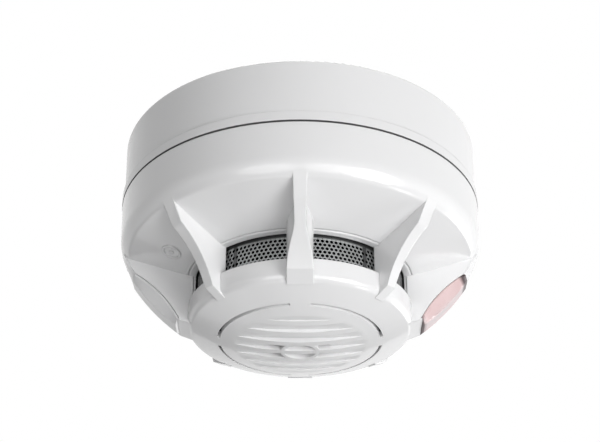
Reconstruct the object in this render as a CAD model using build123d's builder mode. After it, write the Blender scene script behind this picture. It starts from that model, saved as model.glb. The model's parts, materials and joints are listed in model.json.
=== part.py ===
from build123d import *
from math import asin, atan2, cos, degrees, hypot, radians, sin, sqrt
import os

# Ceiling fire detector in two halves: a deep base that is screwed to the ceiling,
# and a twist-lock head with a ring of air windows, a screened sensing chamber, an
# indicator lens and a sounder behind the grille of its nose.
#
# Millimetres. The origin is the centre of the base's ceiling face and +Z is up,
# into the ceiling, so the whole detector lies below z = 0. The twist axis is Z.
# The two wide bridges of the head stand on +X (lens) and -X (blank insert).

# ------------------------------------------------------------------ overall sizes
outer_radius = 55.0  # flange of the base
base_height = 21.3  # ceiling face to the parting line
parting_gap = 0.5  # open joint between base and head
wall = 2.0  # general wall of the mouldings
seat_gap = 0.1  # between a piece and the seat that holds it

parting_z = -base_height
head_top_z = parting_z - parting_gap / 2

# ------------------------------------------------------------------ base sizes
flange_width = 0.7  # flange, out past the skirt above it
flange_height = 3.1
base_flare = 0.3  # the skirt's top, out past its foot
base_edge_round = 0.9
ceiling_rim_width = 4.1  # flat ring that bears on the ceiling
ceiling_recess = 1.0
base_plate = 2.4
stiffener_width = 1.6
stiffener_count = 8
entry_radius = 9.0  # hole in the plate for the cable grommet
entry_boss_width = 2.6
grommet_bore_radius = 6.0
grommet_lip = 1.4
long_slot_spacing = 60.0  # fixing slots along X
short_slot_spacing = 50.0  # fixing slots along Y
slot_length = 11.0
slot_width = 4.6

base_plate_z = -(ceiling_recess + base_plate)  # underside of the plate
base_skirt_radius = outer_radius - flange_width  # just above the flange
base_top_radius = base_skirt_radius + base_flare
base_inner_radius = base_skirt_radius - wall

# ------------------------------------------------------------------ twist lock
lock_angles = (30.0, 150.0, 270.0)
lock_ledge_height = 1.8
lock_ledge_rise = 0.9  # parting line to the underside of the ledges
lock_ledge_width = 4.6  # how far a ledge reaches in from the base's wall
lock_lug_half = 7.5  # degrees either side
lock_travel = 18.0  # degrees from locked to free
lock_stop_width = 2.2  # degrees
lock_stop_gap = 0.3  # degrees
lock_side_gap = 0.8  # lug to the base's wall
collar_gap = 2.5  # collar to the ledges
collar_wall = 2.5

collar_radius = base_inner_radius - lock_ledge_width - collar_gap
lock_ledge_z = parting_z + lock_ledge_rise
lock_lug_z = lock_ledge_z + lock_ledge_height + seat_gap
collar_top_z = lock_lug_z + lock_ledge_height

# ------------------------------------------------------------------ terminals
terminal_angles = (45.0, 135.0, 225.0, 315.0)
terminal_radius = 35.0  # screw axis
pedestal_length = 15.0
pedestal_width = 11.0
pedestal_height = 7.4
pedestal_round = 1.0
strip_thickness = 0.8
strip_width = 8.4
finger_width = 4.0
finger_offset = 1.0  # pedestal to the bend of a spring finger
finger_reach = 3.5  # bend to the finger's tip, which touches the head's blade
finger_overlap = 0.6  # finger's tip below the collar's top
finger_gap = 0.1
clamp_thickness = 1.2
clamp_size = 7.6
clamp_gap = 0.1
screw_radius = 1.75
screw_fit = 0.05  # radial running clearance
screw_length = 6.0
screw_head_radius = 3.2
screw_head_height = 1.9
driver_slot_width = 0.8
driver_slot_depth = 1.0

finger_bend = terminal_radius - pedestal_length / 2 - finger_offset
finger_radius = finger_bend + finger_reach
strip_z = base_plate_z - pedestal_height  # upper face of the strips
clamp_z = strip_z - strip_thickness - clamp_gap  # upper face of the closed clamps

# ------------------------------------------------------------------ head cover sizes
band_inset = 0.1  # top of the band, in from the base's flange
band_taper = 0.25  # its bottom, in from its top
band_drop = 15.9  # parting line to the corner of band and dish
band_round_height = 4.8  # the corner's rounding, up the band
band_round_width = 2.35  # and in along the dish
band_round_end = 2.5  # softening of its inner end
lip_drop = 22.95  # parting line to the inner end of the dish
lip_reach = 0.1  # inner end of the dish, out from the windows
window_radius = 33.6  # outside of the ring of windows and of the nose
window_inset = 0.15  # lip to the top of the windows
window_height = 9.1
nose_depth = 13.4  # bottom of the windows to the lowest point of the nose
dome_radius = 83.0  # underside of the nose
nose_edge_round = 2.6
post_inset = 0.05  # sides of an upright, in from the flanks of its fin or bridge

fin_inset = 1.6  # outer end of a fin, in from the flange
fin_rise = 1.1  # and above the dish carried outwards
knee_inset = 5.6
knee_rise = 1.05  # above the lip
foot_reach = 2.2  # foot of a bridge's outer edge, out from the nose
foot_rise = 0.6  # above the nose's dome carried outwards
fin_foot_reach = 3.0  # foot of a fin's outer edge, out from the nose
fin_foot_drop = 0.1  # below the nose's dome carried outwards
fin_end_drop = 0.25  # inner end of a fin's foot, below the nose's dome
edge_hollow = 1.3  # how far the outer edge bows in
root_depth = 0.3  # how deep bridges end inside the nose
fin_outer_width = 4.2  # at the flange
fin_inner_width = 3.0  # at the windows
wide_fin_neck = 3.2  # narrowest width of the two fins on the Y axis
wide_fin_width = 7.6  # their width at the windows
flare_start = 2.3  # windows to the inner end of their flare
flare_end = 10.5  # and to its outer end
flare_pull = 3.2  # how far the flare stays straight at each end
bridge_outer_width = 10.2  # at the flange
bridge_inner_width = 11.4  # at the windows
bridge_wall = 1.7
crown_radius = 8.0  # rounding of a bridge across its width
crown_height = 1.5  # how far an insert's ends stand above the bridge's edge
crown_bow = 0.8  # how much further its middle stands out
crown_width = 5.4  # flat across the top of an insert
crown_inset = 0.65  # end of the rounding, in from the band
crown_rise = 1.7  # and above the band's corner
insert_edge = 0.5  # thickness along its sides
insert_inset = 0.2  # its sides, in from the flanks of the bridge
insert_opening_share = 0.44  # place of the opening under an insert, from knee to foot
insert_opening_length = 7.2
insert_opening_width = 5.2

slot_ring_radius = 24.2
slot_ring_width = 0.95
slot_bridge_width = 5.6
grille_pitch = 5.35
grille_groove_width = 3.2
grille_radius = 19.6
grille_depth = 1.6  # at the centre
grille_count = 8  # grooves
grille_wall = 3.4  # nose tip to the flat face behind the grille
grille_ring_outer = 5.8
grille_ring_inner = 4.75
sound_hole_reach = 3.0  # out from the ring
mark_inset = 7.3  # raised mark for the magnet that starts a test, out from the lip
mark_angle = 203.0
mark_size = 3.0
mark_line = 0.7
mark_height = 0.35
seam_inset = 0.3  # fine groove round the lip, out from it
seam_width = 0.3
seam_depth = 0.4

band_top_radius = outer_radius - band_inset
band_bottom_radius = band_top_radius - band_taper
lip_radius = window_radius + lip_reach
mark_radius = lip_radius + mark_inset
band_corner_z = parting_z - band_drop
lip_z = parting_z - lip_drop
window_top_z = lip_z - window_inset
window_bottom_z = window_top_z - window_height
nose_tip_z = window_bottom_z - nose_depth
head_height = parting_z - nose_tip_z
dome_centre_z = nose_tip_z + dome_radius
dish_slope = (band_corner_z - lip_z) / (band_bottom_radius - lip_radius)
dish_wall = wall * sqrt(1 + dish_slope**2)  # the wall measured upright
band_round_z = band_corner_z + band_round_height
round_end_radius = band_bottom_radius - band_round_width


def dome_z(radius, inwards=0.0):
    """Height of the nose's underside, or of a sphere inside it, at a radius."""
    return dome_centre_z - sqrt((dome_radius - inwards) ** 2 - radius**2)


def dish_z(radius):
    """Height of the dish's lower face at a radius."""
    return lip_z + (radius - lip_radius) * dish_slope


def radial(angle):
    """Upright plane through the axis, with its x axis pointing out at the angle."""
    out = (cos(radians(angle)), sin(radians(angle)), 0)
    return Plane(origin=(0, 0, 0), x_dir=out, z_dir=(out[1], -out[0], 0))


def polar(radius, angle, height=0.0):
    """Point at a radius and angle."""
    return (radius * cos(radians(angle)), radius * sin(radians(angle)), height)


# ------------------------------------------------------------------ sizes inside the head
rear_plate = 1.8
rear_drop = 1.6  # parting line to the top of the rear plate
rear_fit = 0.4  # rear plate to the cover's band
cover_screw_angles = (90.0, 210.0, 330.0)
cover_screw_inset = 6.15  # screw's axis, in from the bottom of the band
cover_screw_radius = 1.25
cover_screw_head_radius = 2.5
cover_screw_head_height = 1.5
cover_screw_length = 9.0
cover_boss_radius = 2.5
cover_boss_bore = 1.3  # radius
blade_thickness = 1.0
blade_half = 10.0  # degrees either side
blade_width = 5.0
blade_rib_width = 7.0
blade_pin_radius = 1.0
board_gap = 3.6  # rear plate to circuit board
board_thickness = 1.6
board_edge_gap = 1.0  # board to the bosses of the screws
board_post_inset = 7.0  # posts, in from the board's edge
board_post_radius = 2.2
board_post_angles = (60.0, 180.0, 300.0)
under_board_inset = 3.7  # capacitor and reed switch, in from the board's edge
capacitor_angle = 250.0
capacitor_radius = 3.15
capacitor_height = 7.0
capacitor_round = 0.5
reed_radius = 1.1
reed_length = 10.0
reed_gap = 0.3
chip_place = (12.0, 14.0)
chip_size = 10.0
chip_height = 1.4
chip_leg = 1.0
lamp_inset = 2.0  # lamp, in from the middle of the opening under the lens
lamp_size = (1.6, 2.0)
lamp_height = 0.8
stem_gap = 0.2  # lamp to the lens's light guide
stem_size = (3.0, 4.0)
switch_place = (0.0, -22.0)
switch_length = 22.0
switch_width = 6.6
switch_height = 4.5
switch_fit = 0.2
switch_places = 8
switch_pitch = 2.54
slider_size = 1.1
slider_travel = 1.4
slider_height = 1.0
slider_fit = 0.06
chamber_fit = 0.4  # chamber to the inside of the window ring
chamber_flange_reach = 1.3
chamber_flange = 2.0
chamber_wall = 1.5
chamber_bore = 12.0
chamber_roof = 5.0
side_wall_half = 33.0  # degrees either side of the bridges
vane_count = 20
vane_inset = 6.1  # middle of the vanes, in from the screens
vane_length = 7.6
vane_thickness = 1.2
vane_angle = 38.0
screen_inset = 0.3  # in from the chamber's side
screen_thickness = 0.3
screen_overlap = 1.2  # past the windows, above and below
screen_end_gap = 0.3  # degrees
lid_thickness = 1.5
emitter_angle = 150.0
receiver_angle = 30.0
sensor_radius = 2.5
sensor_length = 8.0
sensor_inset = 1.0
sensor_fit = 0.1
heat_sensor_inset = 6.8  # in from the middle of the vanes
heat_sensor_angles = (67.5, 112.5)
bead_radius = 1.2
lead_radius = 0.35
sounder_radius = 20.0
sounder_wall = 1.5
sounder_gap = 0.7  # rim of the sounder to the inside of the nose
disc_ledge = 1.2
disc_thickness = 0.5

rear_top_z = parting_z - rear_drop
rear_under_z = rear_top_z - rear_plate
board_top_z = rear_under_z - board_gap
board_under_z = board_top_z - board_thickness
screen_top_z = window_top_z + screen_overlap
lid_top_z = window_bottom_z - screen_overlap
lid_under_z = lid_top_z - lid_thickness
window_inner_radius = window_radius - wall
cover_inner_radius = band_top_radius - wall
cover_screw_ring = band_bottom_radius - cover_screw_inset
board_radius = cover_screw_ring - cover_boss_radius - board_edge_gap
board_post_ring = board_radius - board_post_inset
under_board_ring = board_radius - under_board_inset
chamber_radius = window_inner_radius - chamber_fit
chamber_flange_radius = chamber_radius + chamber_flange_reach
turret_radius = chamber_bore + sensor_inset + sensor_length + chamber_wall
screen_radius = chamber_radius - screen_inset
vane_ring = screen_radius - vane_inset
heat_sensor_ring = vane_ring - heat_sensor_inset
finger_z = collar_top_z - finger_overlap  # contact height: tip of the fingers
blade_top_z = finger_z - finger_gap

# The outer edge that fins and bridges share, as (radius, height) points.
edge_top = (outer_radius - fin_inset, dish_z(outer_radius - fin_inset) + fin_rise)
edge_knee = (outer_radius - knee_inset, lip_z + knee_rise)
foot_radius = window_radius + foot_reach
edge_foot = (foot_radius, dome_z(foot_radius) + foot_rise)
edge_length = hypot(edge_knee[0] - edge_foot[0], edge_knee[1] - edge_foot[1])
edge_along = tuple((foot - knee) / edge_length for knee, foot in zip(edge_knee, edge_foot))
edge_out = (-edge_along[1], edge_along[0])


def edge_point(share, out):
    """Point beside the straight line from knee to foot, moved outwards by a distance."""
    run = share * edge_length
    return tuple(edge_knee[i] + edge_along[i] * run + edge_out[i] * out for i in (0, 1))


lamp_radius = edge_point(insert_opening_share, -lamp_inset)[0]


def edge_plane(share):
    """Plane across the line from knee to foot on +X, with its y axis pointing outwards."""
    at = edge_point(share, 0)
    return Plane(
        origin=(at[0], 0, at[1]), x_dir=(0, 1, 0), z_dir=(edge_along[0], 0, edge_along[1])
    )


def seat_plane(side, out):
    """Plane of an insert's opening, facing outwards; side is 1 for +X and -1 for -X."""
    at = edge_point(insert_opening_share, out)
    return Plane(
        origin=(side * at[0], 0, at[1]),
        x_dir=(0, side, 0),
        z_dir=(side * edge_out[0], 0, edge_out[1]),
    )


def half_width(radius, outer_width, inner_width):
    """Half the width of a fin or bridge at a radius."""
    share = (outer_radius - radius) / (outer_radius - window_radius)
    return (outer_width + (inner_width - outer_width) * share) / 2


os.makedirs("parts", exist_ok=True)

# ================================================================== base housing
rim_inner_radius = base_top_radius - ceiling_rim_width
entry_boss_radius = entry_radius + entry_boss_width
with BuildPart() as base_housing:
    with BuildSketch(Plane.XZ) as base_section:
        with BuildLine():
            Polyline(
                (0, -ceiling_recess),
                (rim_inner_radius, -ceiling_recess),
                (rim_inner_radius, 0),
                (base_top_radius, 0),
                (base_skirt_radius, parting_z + parting_gap / 2 + flange_height),
                (outer_radius, parting_z + parting_gap / 2 + flange_height),
                (outer_radius, parting_z + parting_gap / 2),
                (base_inner_radius, parting_z + parting_gap / 2),
                (base_inner_radius, base_plate_z),
                (0, base_plate_z),
                close=True,
            )
        make_face()
        fillet(base_section.vertices().sort_by_distance((base_top_radius, 0))[0], base_edge_round)
    revolve(axis=Axis.Z)
    # stiffening ribs and a boss round the cable entry, level with the ceiling rim
    with BuildSketch(Plane.XY):
        with PolarLocations(0, stiffener_count, start_angle=180 / stiffener_count):
            with Locations(((entry_radius + rim_inner_radius) / 2, 0)):
                Rectangle(rim_inner_radius - entry_radius + 1, stiffener_width)
        Circle(entry_boss_radius)
    extrude(amount=-ceiling_recess)
    # cable entry and fixing slots
    with Locations((0, 0, 0)):
        Hole(entry_radius)
    with BuildSketch(Plane.XY):
        for spacing, turn in ((long_slot_spacing, 0), (short_slot_spacing, 90)):
            with PolarLocations(spacing / 2, 2, start_angle=turn):
                SlotOverall(slot_length, slot_width)
    extrude(amount=base_plate_z, mode=Mode.SUBTRACT)
    # terminal pedestals, each with a pilot hole for its screw
    with BuildSketch(Plane.XY.offset(base_plate_z)):
        with PolarLocations(terminal_radius, len(terminal_angles), start_angle=terminal_angles[0]):
            RectangleRounded(pedestal_length, pedestal_width, pedestal_round)
    extrude(amount=-pedestal_height)
    with Locations(*[polar(terminal_radius, angle, strip_z) for angle in terminal_angles]):
        Cylinder(screw_radius + screw_fit, 2 * screw_length, mode=Mode.SUBTRACT)
    # twist-lock ledges, with a stop at each end of the lugs' travel
    ledge_half = lock_lug_half + lock_stop_gap
    for angle in lock_angles:
        for start, arc, height in (
            (angle - ledge_half, 2 * ledge_half, lock_ledge_height),
            (angle + ledge_half, lock_stop_width, collar_top_z - lock_ledge_z),
            (
                angle - ledge_half - lock_travel - lock_stop_width,
                lock_stop_width,
                collar_top_z - lock_ledge_z,
            ),
        ):
            with BuildSketch(radial(start)):
                with Locations((base_inner_radius - lock_ledge_width, lock_ledge_z)):
                    Rectangle(lock_ledge_width + wall / 2, height, align=(Align.MIN, Align.MIN))
            revolve(axis=Axis.Z, revolution_arc=arc)
base_housing.part.label = "base_housing"
export_step(base_housing.part, "parts/base_housing.step")

with BuildPart() as cable_grommet:
    with BuildSketch(Plane.XZ):
        with BuildLine():
            Polyline(
                (grommet_bore_radius, 0),
                (entry_radius - seat_gap, 0),
                (entry_radius - seat_gap, base_plate_z - seat_gap),
                (entry_radius + grommet_lip, base_plate_z - seat_gap),
                (entry_radius + grommet_lip, base_plate_z - seat_gap - grommet_lip),
                (grommet_bore_radius, base_plate_z - seat_gap - grommet_lip),
                close=True,
            )
        make_face()
    revolve(axis=Axis.Z)
cable_grommet.part.label = "cable_grommet"
export_step(cable_grommet.part, "parts/cable_grommet.step")

# ================================================================== terminals
# Each strip lies on its pedestal and bends down into a spring finger over the head's blade.
strip_outer = terminal_radius + clamp_size / 2
for place, angle in enumerate(terminal_angles, start=1):
    with BuildPart() as terminal_strip:
        with BuildSketch(radial(angle)):
            with BuildLine():
                Polyline(
                    (strip_outer, strip_z),
                    (strip_outer, strip_z - strip_thickness),
                    (finger_bend + strip_thickness, strip_z - strip_thickness),
                    (finger_bend + strip_thickness, finger_z + 2 * strip_thickness),
                    (finger_radius, finger_z),
                    (finger_radius - strip_thickness, finger_z),
                    (finger_bend, finger_z + 2 * strip_thickness),
                    (finger_bend, strip_z),
                    close=True,
                )
            make_face()
        extrude(amount=finger_width / 2, both=True)
        with BuildSketch(Plane.XY.offset(strip_z)):
            with Locations(Location(polar(terminal_radius, angle), (0, 0, angle))):
                Rectangle(2 * (strip_outer - terminal_radius), strip_width)
        extrude(amount=-strip_thickness)
        with Locations(polar(terminal_radius, angle, strip_z)):
            Cylinder(screw_radius + screw_fit, 4 * strip_thickness, mode=Mode.SUBTRACT)
    terminal_strip.part.label = f"terminal_strip_{place}"
    export_step(terminal_strip.part, f"parts/terminal_strip_{place}.step")

    with BuildPart() as terminal_clamp:
        with BuildSketch(Plane.XY.offset(clamp_z)):
            with Locations(Location(polar(terminal_radius, angle), (0, 0, angle))):
                RectangleRounded(clamp_size, clamp_size, 0.8)
            with Locations(polar(terminal_radius, angle)):
                Circle(screw_radius + screw_fit, mode=Mode.SUBTRACT)
        extrude(amount=-clamp_thickness)
    terminal_clamp.part.label = f"terminal_clamp_{place}"
    export_step(terminal_clamp.part, f"parts/terminal_clamp_{place}.step")

    head_z = clamp_z - clamp_thickness - clamp_gap
    with BuildPart() as terminal_screw:
        with BuildSketch(Plane.XY.offset(head_z)):
            with Locations(polar(terminal_radius, angle)):
                Circle(screw_head_radius)
        extrude(amount=-screw_head_height)
        chamfer(terminal_screw.faces().sort_by(Axis.Z)[0].edges(), 0.3)
        with BuildSketch(Plane.XY.offset(head_z)):
            with Locations(polar(terminal_radius, angle)):
                Circle(screw_radius)
        extrude(amount=screw_length)
        with BuildSketch(Plane.XY.offset(head_z - screw_head_height)):
            with Locations(polar(terminal_radius, angle)):
                Rectangle(2 * screw_head_radius, driver_slot_width)
                Rectangle(driver_slot_width, 1.3 * screw_head_radius)
        extrude(amount=driver_slot_depth, mode=Mode.SUBTRACT)
    terminal_screw.part.label = f"terminal_screw_{place}"
    export_step(terminal_screw.part, f"parts/terminal_screw_{place}.step")

# ================================================================== head cover
# Side outline that every fin and bridge shares. Its inner part is buried in the dish,
# in the uprights between the windows and in the nose.
fin_root = (window_inner_radius + 0.3, window_top_z + wall / 2)
fin_back = (edge_top[0] - wall / 2, dish_z(edge_top[0] - wall / 2) + wall / 2)
fin_foot = (window_radius + fin_foot_reach, dome_z(window_radius + fin_foot_reach) - fin_foot_drop)
fin_end = (window_inner_radius, dome_z(window_inner_radius) - fin_end_drop)
plan_root = window_inner_radius - wall


def plan_taper(outer_width, inner_width):
    """Plan outline that narrows or widens from the flange to the ring of windows."""
    root, tip = [half_width(at, outer_width, inner_width) for at in (plan_root, outer_radius)]
    return [(plan_root, -root), (outer_radius, -tip), (outer_radius, tip), (plan_root, root)]


def fin_slab(thickness):
    """Slab with the side outline of a fin."""
    with BuildPart() as slab:
        with BuildSketch(Plane.XZ):
            with BuildLine():
                Polyline(fin_root, fin_back, edge_top, edge_knee)
                ThreePointArc(edge_knee, edge_point(0.5, -edge_hollow), fin_foot)
                Polyline(fin_foot, fin_end, (fin_root[0], fin_end[1] + wall), fin_root)
            make_face()
        extrude(amount=thickness / 2, both=True)
    return slab.part


with BuildPart() as fin:
    add(fin_slab(2 * fin_outer_width))
    with BuildSketch(Plane.XY.offset(nose_tip_z)):
        Polygon(*plan_taper(fin_outer_width, fin_inner_width), align=None)
    extrude(amount=head_height, mode=Mode.INTERSECT)

# The two fins on the Y axis flare out to a wide upright.
flare_in = (window_radius + flare_start, wide_fin_width / 2)
flare_out = (window_radius + flare_end, wide_fin_neck / 2)
with BuildPart() as wide_fin:
    add(fin_slab(2 * wide_fin_width))
    with BuildSketch(Plane.XY.offset(nose_tip_z)):
        with BuildLine():
            Polyline((outer_radius, 0), (outer_radius, fin_outer_width / 2), flare_out)
            Bezier(
                flare_out,
                (flare_out[0] - flare_pull, flare_out[1]),
                (flare_in[0] + flare_pull, flare_in[1]),
                flare_in,
            )
            Polyline(flare_in, (plan_root, flare_in[1]), (plan_root, 0))
            mirror(about=Plane.XZ)
        make_face()
    extrude(amount=head_height, mode=Mode.INTERSECT)

# A bridge is a wide fin whose outer end is rounded across. A seat below the knee takes
# the lens or the blank insert, and the bridge is hollow behind it.
dome_rise = foot_radius / sqrt(dome_radius**2 - foot_radius**2)
bridge_end = (window_inner_radius - wall, dome_z(window_inner_radius - wall) + root_depth)
bridge_places = [Rotation(0, 0, turn) for turn in (0, 180)]
insert_low = edge_point(1.0, foot_rise / (edge_out[0] * dome_rise - edge_out[1]))
crown_knee = edge_point(0.0, crown_height)
crown_top = (band_bottom_radius - crown_inset, band_corner_z + crown_rise)
crown_back = crown_top[0] - 2 * wall
crown_tilt = degrees(atan2(crown_top[0] - crown_knee[0], crown_top[1] - crown_knee[1]))

with BuildPart() as bridge:
    with BuildSketch(Plane.XZ):
        with BuildLine():
            Polyline(fin_root, fin_back, edge_top, edge_knee)
            ThreePointArc(edge_knee, edge_point(0.5, -edge_hollow), edge_foot)
            Polyline(
                edge_foot, insert_low, bridge_end, (fin_root[0], fin_end[1] + wall), fin_root
            )
        make_face()
    extrude(amount=bridge_outer_width, both=True)
    with BuildSketch(Plane.XY.offset(nose_tip_z)):
        Polygon(*plan_taper(bridge_outer_width, bridge_inner_width), align=None)
    extrude(amount=head_height, mode=Mode.INTERSECT)

with BuildPart() as crown:
    with BuildSketch(Plane.XZ):
        with BuildLine():
            Polyline(
                crown_top, crown_knee, edge_knee,
                (edge_knee[0] - wall, edge_knee[1] + wall),
                (crown_back, dish_z(crown_back) + wall / 2), close=True,
            )
        make_face()
    extrude(amount=bridge_outer_width / 2, both=True)
    with BuildSketch(
        Plane(
            origin=(crown_knee[0], 0, crown_knee[1]),
            x_dir=(cos(radians(crown_tilt)), 0, -sin(radians(crown_tilt))),
            z_dir=(sin(radians(crown_tilt)), 0, cos(radians(crown_tilt))),
        )
    ):
        with Locations((-crown_radius, 0)):
            Circle(crown_radius)
    extrude(amount=2 * crown_radius, both=True, mode=Mode.INTERSECT)

# Hollow of a bridge, open to the inside of the head, with an opening under the insert.
hollow_low = edge_point(0.08, -bridge_wall)
hollow_deep = edge_point(0.92, -bridge_wall - edge_hollow / 2)
hollow_top_z = dish_z(hollow_low[0]) + 2 * wall
with BuildPart() as bridge_hollow:
    with BuildSketch(Plane.XZ):
        with BuildLine():
            ThreePointArc(
                hollow_low, edge_point(0.5, -bridge_wall - edge_hollow), hollow_deep
            )
            Polyline(
                hollow_deep,
                (hollow_deep[0], hollow_top_z),
                (hollow_low[0], hollow_top_z),
                hollow_low,
            )
        make_face()
    extrude(amount=bridge_outer_width / 2 - bridge_wall, both=True)
    with BuildSketch(seat_plane(1, -edge_hollow - 1.5 * bridge_wall)):
        Rectangle(insert_opening_width, insert_opening_length)
    extrude(amount=edge_hollow + 1.5 * bridge_wall)

# Grooves of the grille: parallel strips between the dome and a flatter floor.
floor_edge = (grille_radius, dome_z(grille_radius))
floor_top = (0, nose_tip_z + grille_depth)
with BuildPart() as grooves:
    with BuildSketch(Plane.XZ):
        with BuildLine():
            ThreePointArc(
                floor_top,
                (grille_radius / 2, floor_top[1] + (floor_edge[1] - floor_top[1]) / 4),
                floor_edge,
            )
            Polyline(floor_edge, (grille_radius, nose_tip_z - wall), (0, nose_tip_z - wall), floor_top)
        make_face()
    revolve(axis=Axis.Z)
    with BuildSketch(Plane.XY.offset(nose_tip_z - wall)):
        with GridLocations(0, grille_pitch, 1, grille_count):
            Rectangle(4 * grille_radius, grille_groove_width)
        Circle(grille_ring_outer, mode=Mode.SUBTRACT)
        Circle(grille_ring_inner)
        Rectangle(4 * grille_radius, grille_pitch - grille_groove_width, mode=Mode.SUBTRACT)
    extrude(amount=4 * wall, mode=Mode.INTERSECT)

fin_half, wide_fin_half, bridge_half = [
    degrees(asin((width / 2 - post_inset) / window_radius))
    for width in (fin_inner_width, wide_fin_width, bridge_inner_width)
]
post_halves = {0: bridge_half, 90: wide_fin_half}
band_end = (band_bottom_radius, band_round_z)
round_end = (round_end_radius, dish_z(round_end_radius))
pad_radius = sqrt((dome_radius - wall) ** 2 - (dome_radius - grille_wall) ** 2)
with BuildPart() as head_cover:
    with BuildSketch(Plane.XZ) as cover_section:
        with BuildLine():
            Line((0, nose_tip_z + grille_wall), (0, nose_tip_z))
            ThreePointArc(
                (0, nose_tip_z),
                (window_radius / 2, dome_z(window_radius / 2)),
                (window_radius, dome_z(window_radius)),
            )
            Polyline(
                (window_radius, dome_z(window_radius)),
                (window_radius, window_top_z),
                (lip_radius, lip_z),
                round_end,
            )
            TangentArc(band_end, round_end, tangent=(band_end[0] - band_top_radius, band_end[1] - head_top_z))
            Polyline(
                band_end,
                (band_top_radius, head_top_z),
                (cover_inner_radius, head_top_z),
                (band_bottom_radius - wall, band_round_z),
                (round_end_radius - wall, dish_z(round_end_radius - wall) + dish_wall),
                (lip_radius, lip_z + dish_wall),
                (window_inner_radius, window_top_z + wall),
                (window_inner_radius, dome_z(window_inner_radius, wall)),
            )
            ThreePointArc(
                (window_inner_radius, dome_z(window_inner_radius, wall)),
                (window_radius * 0.7, dome_z(window_radius * 0.7, wall)),
                (pad_radius, nose_tip_z + grille_wall),
            )
            Line((pad_radius, nose_tip_z + grille_wall), (0, nose_tip_z + grille_wall))
        make_face()
        for corner, size in (
            (round_end, band_round_end),
            ((window_radius, dome_z(window_radius)), nose_edge_round),
        ):
            fillet(cover_section.vertices().sort_by_distance(corner)[0], size)
    revolve(axis=Axis.Z)
    with BuildSketch(radial(0)):
        with Locations((lip_radius + seam_inset, dish_z(lip_radius + seam_inset))):
            Rectangle(seam_width, 2 * seam_depth)
    revolve(axis=Axis.Z, mode=Mode.SUBTRACT)
    # air windows between the uprights
    posts = [(angle, post_halves.get(angle % 180, fin_half)) for angle in range(0, 405, 45)]
    for (angle, half), (next_angle, next_half) in zip(posts, posts[1:]):
        with BuildSketch(radial(angle + half)):
            with Locations((window_radius, (window_top_z + window_bottom_z) / 2)):
                Rectangle(3 * wall, window_height)
        revolve(
            axis=Axis.Z, mode=Mode.SUBTRACT,
            revolution_arc=next_angle - next_half - angle - half,
        )
    with Locations(*[Rotation(0, 0, angle) for angle in (45, 135, 225, 315)]):
        add(fin.part)
    with Locations(*[Rotation(0, 0, angle) for angle in (90, 270)]):
        add(wide_fin.part)
    with Locations(*bridge_places):
        add(bridge.part)
        add(crown.part)
        add(bridge_hollow.part, mode=Mode.SUBTRACT)
    # ring of four curved slots round the grille
    slot_bridge_half = degrees(asin(slot_bridge_width / 2 / slot_ring_radius))
    for start in range(0, 360, 90):
        with BuildSketch(radial(start + slot_bridge_half)):
            with Locations((slot_ring_radius, dome_z(slot_ring_radius))):
                Rectangle(slot_ring_width, 4 * wall)
        revolve(axis=Axis.Z, revolution_arc=90 - 2 * slot_bridge_half, mode=Mode.SUBTRACT)
    add(grooves.part, mode=Mode.SUBTRACT)
    # sound holes beside the ring, in the two middle grooves
    with BuildSketch(Plane.XY.offset(nose_tip_z - wall)):
        with GridLocations(0, grille_pitch, 1, 2):
            Rectangle(4 * grille_radius, grille_groove_width)
        Circle(grille_ring_outer + sound_hole_reach, mode=Mode.INTERSECT)
        Circle(grille_ring_outer, mode=Mode.SUBTRACT)
    extrude(amount=4 * wall, mode=Mode.SUBTRACT)
    # bosses for the screws of the rear cover
    boss_places = [polar(cover_screw_ring, angle) for angle in cover_screw_angles]
    with BuildSketch(Plane.XY.offset(rear_under_z - seat_gap)):
        with Locations(*boss_places):
            Circle(cover_boss_radius)
    extrude(amount=dish_z(cover_screw_ring) + dish_wall / 2 - rear_under_z + seat_gap)
    with BuildSketch(Plane.XY.offset(rear_under_z - seat_gap)):
        with Locations(*boss_places):
            Circle(cover_boss_bore)
    extrude(amount=-cover_screw_length, mode=Mode.SUBTRACT)
    # raised ring and dot that show where the test magnet is held
    dish_angle = degrees(atan2(dish_slope, 1))
    with BuildSketch(
        Plane(
            origin=polar(mark_radius, mark_angle, dish_z(mark_radius) + wall / 4),
            x_dir=polar(1, mark_angle + 90),
            z_dir=polar(sin(radians(dish_angle)), mark_angle, -cos(radians(dish_angle))),
        )
    ):
        Circle(mark_size)
        Circle(mark_size - mark_line, mode=Mode.SUBTRACT)
        Circle(mark_line)
    extrude(amount=wall / 4 + mark_height)
head_cover.part.label = "head_cover"
export_step(head_cover.part, "parts/head_cover.step")

# Lens and blank insert share one outline, lofted through sections across the bridge.
with BuildPart() as insert:
    for share in (0.0, 0.25, 0.5, 0.75, 1.0):
        bow = 1 - (2 * share - 1) ** 2
        inner = seat_gap - edge_hollow * bow
        crest = crown_height + crown_bow * bow
        place = edge_point(share, 0)[0]
        half = half_width(place, bridge_outer_width, bridge_inner_width) - insert_inset
        end_gap = seat_gap / edge_length * (1 - 2 * share)
        with BuildSketch(edge_plane(share + end_gap)):
            Polygon(
                (-half, inner),
                (half, inner),
                (half, inner + insert_edge),
                (crown_width / 2, crest),
                (-crown_width / 2, crest),
                (-half, inner + insert_edge),
                align=None,
            )
    loft()

with BuildPart() as indicator_lens:
    add(insert.part)
    # light guide from the lens up to the lamp on the circuit board
    stem_top_z = board_under_z - lamp_height - stem_gap
    with BuildSketch(Plane.XY.offset(stem_top_z)):
        with Locations((lamp_radius, 0)):
            Rectangle(*stem_size)
    extrude(amount=edge_point(0.6, 0)[1] - stem_top_z)
indicator_lens.part.label = "indicator_lens"
export_step(indicator_lens.part, "parts/indicator_lens.step")

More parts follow.
